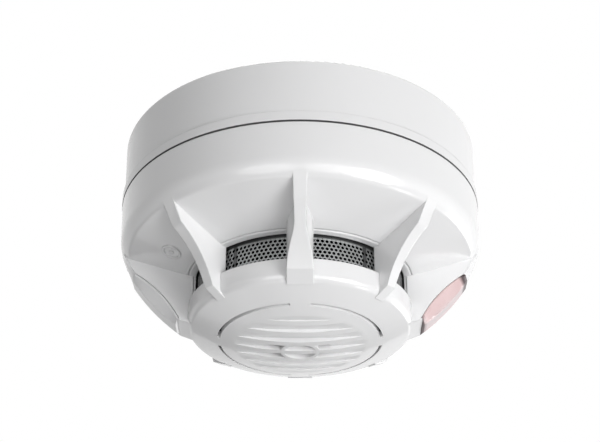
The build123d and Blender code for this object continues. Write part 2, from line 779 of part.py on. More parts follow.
with BuildPart() as blank_insert:
    with Locations(bridge_places[1]):
        add(insert.part)
    # block that presses into the opening of the bridge
    with BuildSketch(seat_plane(-1, -edge_hollow - bridge_wall)):
        Rectangle(insert_opening_width - 2 * seat_gap, insert_opening_length - 2 * seat_gap)
    extrude(amount=edge_hollow + bridge_wall)
blank_insert.part.label = "blank_insert"
export_step(blank_insert.part, "parts/blank_insert.step")

# ================================================================== rear of the head
with BuildPart() as rear_cover:
    with BuildSketch(Plane.XY.offset(rear_under_z)):
        Circle(cover_inner_radius - rear_fit)
        with Locations(switch_place):
            Rectangle(
                switch_length + 2 * switch_fit, switch_width + 2 * switch_fit, mode=Mode.SUBTRACT
            )
        with Locations(*boss_places):
            Circle(cover_boss_bore, mode=Mode.SUBTRACT)
    extrude(amount=rear_plate)
    with BuildSketch(Plane.XY.offset(rear_top_z)):
        Circle(collar_radius)
        Circle(collar_radius - collar_wall, mode=Mode.SUBTRACT)
    extrude(amount=collar_top_z - rear_top_z)
    # posts that the circuit board is fixed to
    with BuildSketch(Plane.XY.offset(rear_under_z)):
        with Locations(*[polar(board_post_ring, angle) for angle in board_post_angles]):
            Circle(board_post_radius)
    extrude(amount=-board_gap)
    # lugs that turn in over the base's ledges
    for angle in lock_angles:
        with BuildSketch(radial(angle - lock_lug_half)):
            with Locations((collar_radius - collar_wall / 2, lock_lug_z)):
                Rectangle(
                    base_inner_radius - lock_side_gap - collar_radius + collar_wall / 2,
                    lock_ledge_height,
                    align=(Align.MIN, Align.MIN),
                )
        revolve(axis=Axis.Z, revolution_arc=2 * lock_lug_half)
    # curved ribs that carry the contact blades
    for angle in terminal_angles:
        with BuildSketch(radial(angle - blade_half)):
            with Locations((finger_radius, rear_top_z)):
                Rectangle(
                    blade_rib_width,
                    blade_top_z - blade_thickness - rear_top_z,
                    align=(Align.CENTER, Align.MIN),
                )
        revolve(axis=Axis.Z, revolution_arc=2 * blade_half)
        with Locations(polar(finger_radius, angle, rear_top_z)):
            Cylinder(blade_pin_radius + seat_gap, base_height, mode=Mode.SUBTRACT)
rear_cover.part.label = "rear_cover"
export_step(rear_cover.part, "parts/rear_cover.step")

with BuildPart() as contact_blades:
    for angle in terminal_angles:
        with BuildSketch(radial(angle - blade_half)):
            with Locations((finger_radius, blade_top_z)):
                Rectangle(blade_width, blade_thickness, align=(Align.CENTER, Align.MAX))
        revolve(axis=Axis.Z, revolution_arc=2 * blade_half)
    with BuildSketch(Plane.XY.offset(blade_top_z - blade_thickness / 2)):
        with Locations(*[polar(finger_radius, angle) for angle in terminal_angles]):
            Circle(blade_pin_radius)
    extrude(amount=board_top_z - blade_top_z + blade_thickness / 2)
contact_blades.part.label = "contact_blades"
export_step(contact_blades.part, "parts/contact_blades.step")

with BuildPart() as cover_screws:
    with BuildSketch(Plane.XY.offset(rear_top_z)):
        with Locations(*boss_places):
            Circle(cover_screw_head_radius)
    extrude(amount=cover_screw_head_height)
    with BuildSketch(Plane.XY.offset(rear_top_z)):
        with Locations(*boss_places):
            Circle(cover_screw_radius)
    extrude(amount=-cover_screw_length)
    with BuildSketch(Plane.XY.offset(rear_top_z + cover_screw_head_height)):
        with Locations(*boss_places):
            Rectangle(1.2 * cover_screw_head_radius, driver_slot_width)
            Rectangle(driver_slot_width, 1.2 * cover_screw_head_radius)
    extrude(amount=-driver_slot_depth, mode=Mode.SUBTRACT)
cover_screws.part.label = "cover_screws"
export_step(cover_screws.part, "parts/cover_screws.step")

# ================================================================== circuit board
with BuildPart() as circuit_board:
    with BuildSketch(Plane.XY.offset(board_under_z)):
        Circle(board_radius)
    extrude(amount=board_thickness)
circuit_board.part.label = "circuit_board"
export_step(circuit_board.part, "parts/circuit_board.step")

with BuildPart() as microcontroller:
    with BuildSketch(Plane.XY.offset(board_top_z)):
        with Locations(chip_place):
            Rectangle(chip_size, chip_size)
            with GridLocations(chip_size + chip_leg, chip_size / 8, 2, 7):
                Rectangle(chip_leg, chip_leg / 2)
    extrude(amount=chip_leg / 2)
    with BuildSketch(Plane.XY.offset(board_top_z)):
        with Locations(chip_place):
            Rectangle(chip_size, chip_size)
    extrude(amount=chip_height)
microcontroller.part.label = "microcontroller"
export_step(microcontroller.part, "parts/microcontroller.step")

with BuildPart() as reservoir_capacitor:
    with BuildSketch(Plane.XY.offset(board_under_z)):
        with Locations(polar(under_board_ring, capacitor_angle)):
            Circle(capacitor_radius)
    extrude(amount=-capacitor_height)
    fillet(reservoir_capacitor.faces().sort_by(Axis.Z)[0].edges(), capacitor_round)
reservoir_capacitor.part.label = "reservoir_capacitor"
export_step(reservoir_capacitor.part, "parts/reservoir_capacitor.step")

with BuildPart() as indicator_lamp:
    with BuildSketch(Plane.XY.offset(board_under_z)):
        with Locations((lamp_radius, 0)):
            Rectangle(*lamp_size)
    extrude(amount=-lamp_height)
indicator_lamp.part.label = "indicator_lamp"
export_step(indicator_lamp.part, "parts/indicator_lamp.step")

# A glass reed tube lies under the board beside the raised mark.
reed_axis_z = board_under_z - reed_gap - reed_radius
reed_place = polar(under_board_ring, mark_angle, reed_axis_z)
with BuildPart() as reed_switch:
    with Locations(Location(reed_place, (0, 0, mark_angle + 90))):
        Cylinder(reed_radius, reed_length, rotation=(0, 90, 0))
        with GridLocations(reed_length, 0, 2, 1):
            Box(
                4 * lead_radius, 2 * lead_radius, board_under_z - reed_axis_z,
                align=(Align.CENTER, Align.CENTER, Align.MIN),
            )
reed_switch.part.label = "reed_switch"
export_step(reed_switch.part, "parts/reed_switch.step")

# Address switch: a row of small sliders that show through the rear cover.
slot_size = slider_size + 2 * slider_fit
switch_top_z = board_top_z + switch_height
with BuildPart() as address_switch:
    with BuildSketch(Plane.XY.offset(board_top_z)):
        with Locations(switch_place):
            Rectangle(switch_length, switch_width)
    extrude(amount=switch_height)
    with BuildSketch(Plane.XY.offset(switch_top_z)):
        with Locations(switch_place):
            with GridLocations(switch_pitch, 0, switch_places, 1):
                Rectangle(slot_size, slot_size + slider_travel)
    extrude(amount=-slider_height, mode=Mode.SUBTRACT)
address_switch.part.label = "address_switch"
export_step(address_switch.part, "parts/address_switch.step")

for place in range(switch_places):
    slider_x = switch_place[0] + (place - (switch_places - 1) / 2) * switch_pitch
    with BuildPart() as address_slider:
        with BuildSketch(Plane.XY.offset(switch_top_z - slider_height + slider_fit)):
            with Locations((slider_x, switch_place[1] - slider_travel / 2)):
                Rectangle(slider_size, slider_size)
        extrude(amount=2 * slider_height - slider_fit)
    address_slider.part.label = f"address_slider_{place + 1}"
    export_step(address_slider.part, f"parts/address_slider_{place + 1}.step")

# ================================================================== sensing chamber
# A dish under the circuit board with a solid turret in the middle. The labyrinth, the
# side walls and the insect screens stand between its floor and the chamber's lid.
chamber_top_z = board_under_z - seat_gap
bore_top_z = chamber_top_z - chamber_roof
sensor_z = (bore_top_z + screen_top_z) / 2
with BuildPart() as chamber_base:
    with BuildSketch(Plane.XZ):
        with BuildLine():
            Polyline(
                (0, chamber_top_z),
                (turret_radius, chamber_top_z),
                (turret_radius, screen_top_z + chamber_wall),
                (chamber_radius - chamber_wall, screen_top_z + chamber_wall),
                (chamber_radius - chamber_wall, chamber_top_z),
                (chamber_flange_radius, chamber_top_z),
                (chamber_flange_radius, chamber_top_z - chamber_flange),
                (chamber_radius, chamber_top_z - chamber_flange),
                (chamber_radius, screen_top_z),
                (chamber_bore, screen_top_z),
                (chamber_bore, bore_top_z),
                (0, bore_top_z),
                close=True,
            )
        make_face()
    revolve(axis=Axis.Z)
    # labyrinth vanes keep light out and let smoke in
    with BuildSketch(Plane.XY.offset(screen_top_z)):
        with PolarLocations(vane_ring, vane_count):
            Rectangle(vane_length, vane_thickness, rotation=vane_angle)
    extrude(amount=lid_top_z - screen_top_z)
    # plain side walls behind the bridges, between the two screens
    for middle in (0, 180):
        with BuildSketch(radial(middle - side_wall_half)):
            with Locations((chamber_radius, lid_top_z)):
                Rectangle(
                    chamber_wall, screen_top_z - lid_top_z, align=(Align.MAX, Align.MIN)
                )
        revolve(axis=Axis.Z, revolution_arc=2 * side_wall_half)
    # pockets for the light source and the receiver, and holes for the heat sensors
    for angle in (emitter_angle, receiver_angle):
        with BuildSketch(Plane(origin=(0, 0, sensor_z), z_dir=polar(1, angle))):
            Circle(sensor_radius + sensor_fit)
        extrude(amount=chamber_bore + sensor_inset + sensor_length, mode=Mode.SUBTRACT)
    with Locations(*[polar(heat_sensor_ring, angle, sensor_z) for angle in heat_sensor_angles]):
        Cylinder(lead_radius + 2 * seat_gap, head_height, mode=Mode.SUBTRACT)
chamber_base.part.label = "chamber_base"
export_step(chamber_base.part, "parts/chamber_base.step")

for name, angle in (("infrared_emitter", emitter_angle), ("light_receiver", receiver_angle)):
    front = polar(chamber_bore + sensor_inset, angle, sensor_z)
    with BuildPart() as optical_part:
        with BuildSketch(Plane(origin=front, z_dir=polar(1, angle))):
            Circle(sensor_radius)
        extrude(amount=sensor_length - seat_gap)
        rims = optical_part.edges().filter_by(GeomType.CIRCLE)
        fillet(rims.sort_by_distance(front)[0], sensor_radius * 0.8)
    optical_part.part.label = name
    export_step(optical_part.part, f"parts/{name}.step")

with BuildPart() as insect_screens:
    for middle in (90, 270):
        with BuildSketch(radial(middle - 90 + side_wall_half + screen_end_gap)):
            with Locations((screen_radius, lid_top_z)):
                Rectangle(
                    screen_thickness, screen_top_z - lid_top_z, align=(Align.MAX, Align.MIN)
                )
        revolve(axis=Axis.Z, revolution_arc=180 - 2 * side_wall_half - 2 * screen_end_gap)
insect_screens.part.label = "insect_screens"
export_step(insect_screens.part, "parts/insect_screens.step")

with BuildPart() as chamber_lid:
    with BuildSketch(Plane.XY.offset(lid_top_z)):
        Circle(chamber_radius)
    extrude(amount=-lid_thickness)
chamber_lid.part.label = "chamber_lid"
export_step(chamber_lid.part, "parts/chamber_lid.step")

bead_z = (window_top_z + window_bottom_z) / 2
with BuildPart() as heat_sensors:
    with BuildSketch(Plane.XY.offset(board_under_z)):
        with Locations(*[polar(heat_sensor_ring, angle) for angle in heat_sensor_angles]):
            Circle(lead_radius)
    extrude(amount=bead_z - board_under_z)
    with Locations(*[polar(heat_sensor_ring, angle, bead_z) for angle in heat_sensor_angles]):
        Sphere(bead_radius)
heat_sensors.part.label = "heat_sensors"
export_step(heat_sensors.part, "parts/heat_sensors.step")

# ================================================================== sounder
sounder_top_z = lid_under_z - seat_gap
sounder_rim_z = dome_z(sounder_radius, wall) + sounder_gap
sounder_bore = sounder_radius - sounder_wall
disc_top_z = (sounder_top_z + sounder_rim_z) / 2
with BuildPart() as sounder_housing:
    with BuildSketch(Plane.XZ):
        with BuildLine():
            Polyline(
                (0, sounder_top_z),
                (sounder_radius, sounder_top_z),
                (sounder_radius, sounder_rim_z),
                (sounder_bore, sounder_rim_z),
                (sounder_bore, disc_top_z),
                (sounder_bore - disc_ledge, disc_top_z),
                (sounder_bore - disc_ledge, sounder_top_z - sounder_wall),
                (0, sounder_top_z - sounder_wall),
                close=True,
            )
        make_face()
    revolve(axis=Axis.Z)
sounder_housing.part.label = "sounder_housing"
export_step(sounder_housing.part, "parts/sounder_housing.step")

with BuildPart() as sounder_disc:
    with BuildSketch(Plane.XY.offset(disc_top_z - seat_gap)):
        Circle(sounder_bore - seat_gap)
    extrude(amount=-disc_thickness)
sounder_disc.part.label = "sounder_disc"
export_step(sounder_disc.part, "parts/sounder_disc.step")
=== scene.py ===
# %% [markdown]
# # A ceiling heat detector
# The detector hangs under a ceiling in two halves: a deep base that is screwed up, and a
# head that twists into it, with fins, air windows and a slotted nose. Every shape was
# drawn in CAD and arrives here as a fixed frame, in metres, with the ceiling at z = 0 and
# the front towards -Y. This lesson smooths the mouldings that show, rebuilds the insect
# screens with real holes, paints everything with procedural materials and lights it on a
# plain pale ground.

# %% Load the frame
import json
from math import cos, pi, radians, sin

import bmesh
import bpy
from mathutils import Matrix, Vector

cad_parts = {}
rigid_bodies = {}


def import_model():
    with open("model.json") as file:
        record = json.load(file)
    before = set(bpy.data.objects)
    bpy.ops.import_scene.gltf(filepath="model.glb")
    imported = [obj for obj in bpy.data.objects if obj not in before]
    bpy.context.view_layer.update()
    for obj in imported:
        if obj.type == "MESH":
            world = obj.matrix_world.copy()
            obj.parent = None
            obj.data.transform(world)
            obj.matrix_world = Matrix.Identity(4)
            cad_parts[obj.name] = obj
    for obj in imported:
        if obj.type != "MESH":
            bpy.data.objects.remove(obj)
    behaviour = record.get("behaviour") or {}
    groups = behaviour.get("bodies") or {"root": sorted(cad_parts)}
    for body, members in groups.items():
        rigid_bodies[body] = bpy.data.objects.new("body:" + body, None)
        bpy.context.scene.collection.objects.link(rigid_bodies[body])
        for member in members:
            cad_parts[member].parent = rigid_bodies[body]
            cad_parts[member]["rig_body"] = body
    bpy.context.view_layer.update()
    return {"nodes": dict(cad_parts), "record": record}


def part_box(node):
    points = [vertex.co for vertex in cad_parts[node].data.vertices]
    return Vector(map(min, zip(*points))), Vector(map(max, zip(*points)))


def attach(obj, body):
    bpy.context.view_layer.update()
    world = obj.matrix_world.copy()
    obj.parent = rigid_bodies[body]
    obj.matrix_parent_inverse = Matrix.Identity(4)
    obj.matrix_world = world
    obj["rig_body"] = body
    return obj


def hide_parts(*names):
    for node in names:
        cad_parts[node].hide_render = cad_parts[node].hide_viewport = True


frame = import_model()
nodes = frame["nodes"]

# %% [markdown]
# ## The camera
# Somebody looks up at the detector from below and in front. A long lens half a metre away
# keeps the rim's ellipse calm. The camera could be placed by eye, but a point to look at
# and a tilt are two numbers that can be reasoned about: it looks up by 30 degrees at the
# middle of the parting line.

# %% Camera
camera_tilt = radians(30.08)
camera_distance = 0.473
camera_aim = Vector((0, 0, -0.02197))
camera_data = bpy.data.cameras.new("camera")
camera_data.lens = 91.44
camera_data.sensor_width = 36
camera = bpy.data.objects.new("camera", camera_data)
camera.location = camera_aim - camera_distance * Vector((0, cos(camera_tilt), sin(camera_tilt)))
camera.rotation_euler = (pi / 2 + camera_tilt, 0, 0)
bpy.context.scene.collection.objects.link(camera)
bpy.context.scene.camera = camera
print("camera at", [round(v, 4) for v in camera.location])

# %% [markdown]
# ## A small language for materials
# Shader trees grow long when each node is added and wired by hand. Three helpers keep them
# readable. A Wire is one output of a node, and sums and products of wires add Math nodes.
# A Tree has an `add` method that makes any node from its type, its settings and the values
# or wires for its sockets. A Finish is the tree of one material.

# %% Wires and finishes
class Wire:
    """An output of a node that can be used in sums, products and comparisons."""

    def __init__(self, owner, socket):
        self.owner = owner
        self.socket = socket

    def maths(self, operation, first, second=0.0):
        return self.owner.add("ShaderNodeMath", {"operation": operation}, {0: first, 1: second})

    def apply(self, operation):
        """The wire put through a function of one value."""
        return self.maths(operation, self)

    def __add__(self, other):
        return self.maths("ADD", self, other)

    def __radd__(self, other):
        return self.maths("ADD", other, self)

    def __sub__(self, other):
        return self.maths("SUBTRACT", self, other)

    def __rsub__(self, other):
        return self.maths("SUBTRACT", other, self)

    def __mul__(self, other):
        return self.maths("MULTIPLY", self, other)

    def __rmul__(self, other):
        return self.maths("MULTIPLY", other, self)

    def __truediv__(self, other):
        return self.maths("DIVIDE", self, other)

    def __mod__(self, other):
        return self.maths("FLOORED_MODULO", self, other)

    def __gt__(self, other):
        return self.maths("GREATER_THAN", self, other)

    def __lt__(self, other):
        return self.maths("LESS_THAN", self, other)


class Tree:
    """A node tree whose nodes are added and wired by one method."""

    def add(self, kind, settings=None, inputs=None, output=0):
        """Make a node; a list of wires goes into one socket."""
        node = self.tree.nodes.new(kind)
        for key, value in (settings or {}).items():
            setattr(node, key, value)
        for key, value in (inputs or {}).items():
            for part in value if isinstance(value, list) else [value]:
                self.connect(part, node.inputs[key])
        return Wire(self, node.outputs[output])

    def connect(self, value, socket):
        if isinstance(value, Wire):
            self.tree.links.new(value.socket, socket)
        else:
            socket.default_value = value

    def coordinate(self, place, axis):
        """One coordinate of a place."""
        return self.add("ShaderNodeSeparateXYZ", {}, {0: place}, output=axis)


class Finish(Tree):
    """A material with one principled shader, built node by node."""

    def __init__(self, name):
        self.material = bpy.data.materials.new(name)
        self.material.use_nodes = True
        self.tree = self.material.node_tree
        self.tree.nodes.clear()
        self.shader = self.tree.nodes.new("ShaderNodeBsdfPrincipled")
        output = self.tree.nodes.new("ShaderNodeOutputMaterial")
        self.tree.links.new(self.shader.outputs[0], output.inputs["Surface"])
        self.place = self.add("ShaderNodeTexCoord", output="Object")

    def noise(self, scale, detail=2.0, place=None):
        """Soft random pattern from 0 to 1 with a middle of about 0.5."""
        return self.add(
            "ShaderNodeTexNoise",
            {"noise_dimensions": "3D"},
            {"Vector": place or self.place, "Scale": scale, "Detail": detail},
        )

    def ramp(self, value, low, high):
        """The value squeezed so that low becomes 0 and high becomes 1."""
        return self.add(
            "ShaderNodeMapRange", {}, {"Value": value, "From Min": low, "From Max": high}
        )

    def band(self, value, start, full, fading, end):
        """1 between full and fading, and 0 before start and past end."""
        return self.ramp(value, start, full) * self.ramp(value, end, fading)

    def mix(self, amount, first, second):
        """One colour turning into another."""
        return self.add(
            "ShaderNodeMix",
            {"data_type": "RGBA"},
            {0: amount, 6: (*first, 1) if isinstance(first, tuple) else first,
             7: (*second, 1) if isinstance(second, tuple) else second},
            output=2,
        )

    def relief(self, height, depth, edge=0.0):
        """Normals from a height pattern, on edges rounded off by a radius in metres."""
        inputs = {"Height": height, "Distance": depth, "Strength": 1.0}
        if isinstance(edge, Wire) or edge:
            inputs["Normal"] = self.add("ShaderNodeBevel", {"samples": 6}, {"Radius": edge})
        return self.add("ShaderNodeBump", {}, inputs)

    def paint(self, sockets):
        for name, value in sockets.items():
            if isinstance(value, tuple):
                value = (*value, 1)
            self.connect(value, self.shader.inputs[name])
        return self.material


def shade(colour, factor):
    """The same colour, darker or lighter."""
    return tuple(min(1.0, part * factor) for part in colour)


# %% [markdown]
# ## Moulded plastic
# Every white and black moulding of the detector is injection-moulded plastic. Its colour
# is even, but the surface isn't a mirror: the mould was finely blasted, which breaks
# highlights up, and gloss changes a little where the plastic flowed. Corners are never
# quite sharp, so a Bevel node rounds them in the light, for far less work than rounding
# hundreds of edges in the mesh.

# %% Plastic finishes
mottle = 0.02
joint_half = 0.00025
joint_fade = 0.0001


def moulded_plastic(
    name, colour, roughness, grain=2.0e-6, edge=0.0, fine_below=None, gloss=0.0, joint=None
):
    """Blasted plastic; edges are finer below a height, where the grooves are shallow.

    A joint is the height of an open gap, whose two faces are painted dark, as if in shade.
    """
    finish = Finish(name)
    if fine_below is not None:
        height = finish.coordinate(finish.place, "Z")
        edge = edge * 0.2 + edge * 0.8 * finish.ramp(height, fine_below, fine_below + 0.001)
    flow = finish.noise(22, 3)
    blast = finish.noise(2400, 2)
    surface = finish.mix(flow, shade(colour, 1 - mottle), shade(colour, 1 + mottle))
    if joint is not None:
        off = (finish.coordinate(finish.place, "Z") - joint).apply("ABSOLUTE")
        inside = finish.ramp(off, joint_half + joint_fade, joint_half)
        surface = finish.mix(inside, surface, shade(colour, 0.2))
    return finish.paint({
        "Base Color": surface,
        "Roughness": roughness + 0.10 * (flow - 0.5) + 0.06 * (blast - 0.5),
        "Coat Weight": gloss,
        "Coat Roughness": 0.06,
        "Normal": finish.relief(blast, grain, edge),
    })


white = (0.77, 0.77, 0.775)
groove_zone = 0.006
nose_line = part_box("head_cover")[0][2] + groove_zone
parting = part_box("base_housing")[0][2] - joint_half
finishes = {
    "cover_white": moulded_plastic(
        "head cover plastic", white, 0.22, 0.6e-6, 0.0005, fine_below=nose_line, gloss=0.6,
        joint=parting,
    ),
    "base_white": moulded_plastic(
        "base plastic", white, 0.24, 0.8e-6, 0.0004, gloss=0.3, joint=parting
    ),
    "insert_white": moulded_plastic("blank insert plastic", white, 0.22, grain=1.0e-6, edge=0.0003),
    "rear_white": moulded_plastic("rear cover plastic", (0.74, 0.75, 0.75), 0.5, 6.0e-6, 0.0002),
    "slider_white": moulded_plastic("slider plastic", (0.85, 0.85, 0.83), 0.4),
    "chamber_black": moulded_plastic("chamber plastic", (0.02, 0.02, 0.021), 0.16, 2.0e-6, 0.0002),
    "sounder_black": moulded_plastic("sounder plastic", (0.03, 0.03, 0.03), 0.5),
    "switch_body": moulded_plastic("switch plastic", (0.45, 0.03, 0.03), 0.45),
    "chip_black": moulded_plastic("chip resin", (0.02, 0.02, 0.02), 0.6, 8.0e-6),
    "grommet_rubber": moulded_plastic("grommet rubber", (0.03, 0.03, 0.03), 0.7, 1.0e-5, 0.0002),
    "lamp_red": moulded_plastic("lamp resin", (0.70, 0.05, 0.04), 0.15),
    "emitter_blue": moulded_plastic("emitter resin", (0.10, 0.12, 0.30), 0.15),
    "receiver_black": moulded_plastic("receiver resin", (0.02, 0.015, 0.02), 0.15),
    "bead_amber": moulded_plastic("bead resin", (0.45, 0.22, 0.06), 0.3),
    "capacitor_sleeve": moulded_plastic("capacitor sleeve", (0.03, 0.04, 0.10), 0.35),
}
print(len(finishes), "plastic finishes")

# %% [markdown]
# ## The lens
# The lens over the alarm lamp is a thick, faceted bar of clear pink plastic over a
# recess. Light doesn't pass through it here. What is seen through it is painted instead:
# pink along the flanks, a milky ridge with faint flow lines down the middle, a pale line
# beside it, and the recess, painted dark as shade, at both ends and along the far edge.
# Two coordinates on the bar place them: one down its length, from the box of the lens, and
# one across it.

# %% Lens finish
lens_low, lens_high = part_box("indicator_lens")
bar_inset = 0.0012
bar_top = (lens_high[0] - bar_inset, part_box("blank_insert")[1][2] - bar_inset)
bar_foot = 0.0345
bar_end = (bar_foot, lens_low[2] + bar_inset)
bar_length = ((bar_end[0] - bar_top[0]) ** 2 + (bar_end[1] - bar_top[1]) ** 2) ** 0.5
bar_x, bar_z = [(end - top) / bar_length ** 2 for top, end in zip(bar_top, bar_end)]
lens = Finish("lens plastic")
lens_x, lens_y, lens_z = [lens.coordinate(lens.place, axis) for axis in "XYZ"]
down = (lens_x - bar_top[0]) * bar_x + (lens_z - bar_top[1]) * bar_z
streaks = lens.noise(4.0, 3, lens.add(
    "ShaderNodeCombineXYZ", {}, {"X": down * 0.6, "Y": lens_y * 420.0, "Z": 0.0}
))
cloud = lens.noise(260, 3)
ridge_band = (-0.0034, -0.0018, 0.0012, 0.0026)
pale_band = (0.0026, 0.0030, 0.0033, 0.0037)
length_band = (0.02, 0.08, 0.88, 0.98)
ridge = lens.band(lens_y, *ridge_band)
pale_line = lens.band(lens_y, *pale_band)
milky = ridge * lens.ramp(streaks, 0.30, 0.60)
pink = lens.mix(cloud, (0.60, 0.44, 0.44), (0.68, 0.52, 0.52))
body = lens.mix(milky, pink, (0.55, 0.51, 0.52))
body = lens.mix(pale_line, body, (0.80, 0.77, 0.77))
# Painted shade: the unlit recess behind the bar, shown at its ends and far edge.
recess_shade = (0.055, 0.032, 0.036)
between_ends = lens.band(down, *length_band)
near_side = lens.ramp(lens_y, 0.0050, 0.0030)
finishes["lens_red"] = lens.paint({
    "Base Color": lens.mix(between_ends * near_side, recess_shade, body),
    "Roughness": 0.28 + 0.06 * cloud,
    "Normal": lens.relief(streaks, 1.0e-5, 0.0002),
})
print("lens bar", round(bar_length * 1000, 1), "mm long")

# %% [markdown]
# ## Metals, glass and the circuit board
# Stamped strips and plated screws show the long fine scratches of rolled metal. One noise
# stretched along X makes them. The board is green lacquer over copper tracks, which show
# as slightly lighter, slightly raised lines. The joints of a brick pattern draw them.

# %% Metal, glass and board finishes
scratch_scale = (40, 900, 900)
shaded_strip_half = 0.0005
shade_fade = 0.0002


def rolled_metal(name, colour, roughness, shade_above=None, shaded_strips=()):
    """Metal with long fine scratches; a rim and upright strips can be painted darker, as shade."""
    finish = Finish(name)
    along = finish.add("ShaderNodeMapping", {}, {
        "Vector": finish.place, "Scale": scratch_scale,
    })
    lines = finish.noise(3.0, 4, along)
    tarnish = finish.noise(130, 3)
    surface = finish.mix(tarnish, shade(colour, 0.88), shade(colour, 1.06))
    # Painted shade: darker above a height and on strips at given distances from X = 0.
    if shade_above is not None:
        height = finish.coordinate(finish.place, "Z")
        side = finish.coordinate(finish.place, "X").apply("ABSOLUTE")
        dark = finish.ramp(height, shade_above - shade_fade, shade_above + shade_fade)
        for strip in shaded_strips:
            off = (side - strip).apply("ABSOLUTE")
            on_strip = finish.ramp(off, shaded_strip_half + shade_fade, shaded_strip_half)
            dark = dark.maths("MAXIMUM", dark, on_strip)
        surface = finish.mix(dark, surface, shade(colour, 0.25))
    return finish.paint({
        "Base Color": surface,
        "Metallic": 1.0,
        "Roughness": roughness + 0.18 * (lines - 0.5),
        "Normal": finish.relief(lines, 2.0e-6, 0.0001),
    })


def board_lacquer(name, green, track):
    """Green lacquer, paler and raised over tracks along the joints of a brick pattern."""
    finish = Finish(name)
    tracks = finish.add(
        "ShaderNodeTexBrick",
        {"offset": 0.37, "squash": 1.0},
        {"Vector": finish.place, "Scale": 260.0, "Mortar Size": 0.02, "Mortar Smooth": 0.2},
        output="Fac",
    )
    return finish.paint({
        "Base Color": finish.mix(tracks, green, track),
        "Roughness": 0.32 + 0.1 * finish.noise(300),
        "Normal": finish.relief(tracks, 2.0e-5),
    })


finishes["contact_brass"] = rolled_metal("contact brass", (0.75, 0.58, 0.28), 0.32)
finishes["disc_brass"] = rolled_metal("disc brass", (0.75, 0.60, 0.32), 0.28)
finishes["clamp_steel"] = rolled_metal("plated clamp steel", (0.62, 0.62, 0.61), 0.34)
finishes["screw_steel"] = rolled_metal("plated screw steel", (0.62, 0.62, 0.61), 0.30)
screen_low, screen_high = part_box("insect_screens")
screen_rim_height = 0.0019
screen_rim = screen_high[2] - screen_rim_height
screen_radius = (screen_high[1] - screen_low[1]) / 2
strip_bearing = radians(37.0)
# The top rim and a strip beside each sheet's middle are painted darker, as shade.
finishes["screen_steel"] = rolled_metal(
    "screen steel", (0.46, 0.47, 0.47), 0.38, shade_above=screen_rim,
    shaded_strips=(screen_radius * sin(strip_bearing),),
)
finishes["board_green"] = board_lacquer("board lacquer", (0.02, 0.13, 0.05), (0.05, 0.24, 0.10))
reed_glass = Finish("reed glass")
finishes["reed_glass"] = reed_glass.paint({
    "Base Color": (0.80, 0.90, 0.85),
    "Roughness": 0.05 + 0.04 * reed_glass.noise(400),
    "Transmission Weight": 0.9,
})

slot_of = {part["node"]: part["material_slot"] for part in frame["record"]["subparts"]}
for name, node in nodes.items():
    for place in node.material_slots:
        place.material = finishes[slot_of[name]]
print(len(nodes), "nodes painted with", len(finishes), "finishes")

# %% [markdown]
# ## Smooth mouldings
# The CAD mesh is a loose set of flat triangles, which shows as facets on a glossy shell.
# Rounding every edge in the mesh would be slow and could break thin walls. Instead the
# mouldings that show are copied, their corner points merged, the normals that came with
# the loose triangles dropped, and the copy shaded smooth except at real edges. Weighted
# normals keep the large flat faces flat.

# %% Smooth copies
same_point = 2e-6


def smooth_copy(name, sharp):
    """A merged, smoothly shaded copy of a node that stands in its place."""
    source = nodes[name]
    mesh = source.data.copy()
    mesh.name = name + "_smooth"
    for old in ("custom_normal", "sharp_edge", "sharp_face"):
        if old in mesh.attributes:
            mesh.attributes.remove(mesh.attributes[old])
    shell = bmesh.new()
    shell.from_mesh(mesh)
    bmesh.ops.remove_doubles(shell, verts=shell.verts, dist=same_point)
    shell.to_mesh(mesh)
    shell.free()
    mesh.shade_smooth()
    mesh.set_sharp_from_angle(angle=radians(sharp))
    copy = bpy.data.objects.new(name + "_smooth", mesh)
    bpy.context.scene.collection.objects.link(copy)
    weighted = copy.modifiers.new("weighted", "WEIGHTED_NORMAL")
    weighted.keep_sharp = True
    copy.data = bpy.data.meshes.new_from_object(copy.evaluated_get(
        bpy.context.evaluated_depsgraph_get()
    ))
    copy.modifiers.clear()
    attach(copy, source["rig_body"])
    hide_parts(name)
    return copy


for name, sharp in {
    "head_cover": 28, "base_housing": 28, "indicator_lens": 40, "blank_insert": 12,
    "cable_grommet": 28,
}.items():
    copy = smooth_copy(name, sharp)
    print(name, len(copy.data.polygons), "faces")

# %% [markdown]
# ## Geometry Nodes from the script
# Perforations repeat by rule, which is what Geometry Nodes are for. A Plan is a Tree too,
# so its nodes are added in the same way as for a material and give the same wires, and
# named inputs hold the sizes.

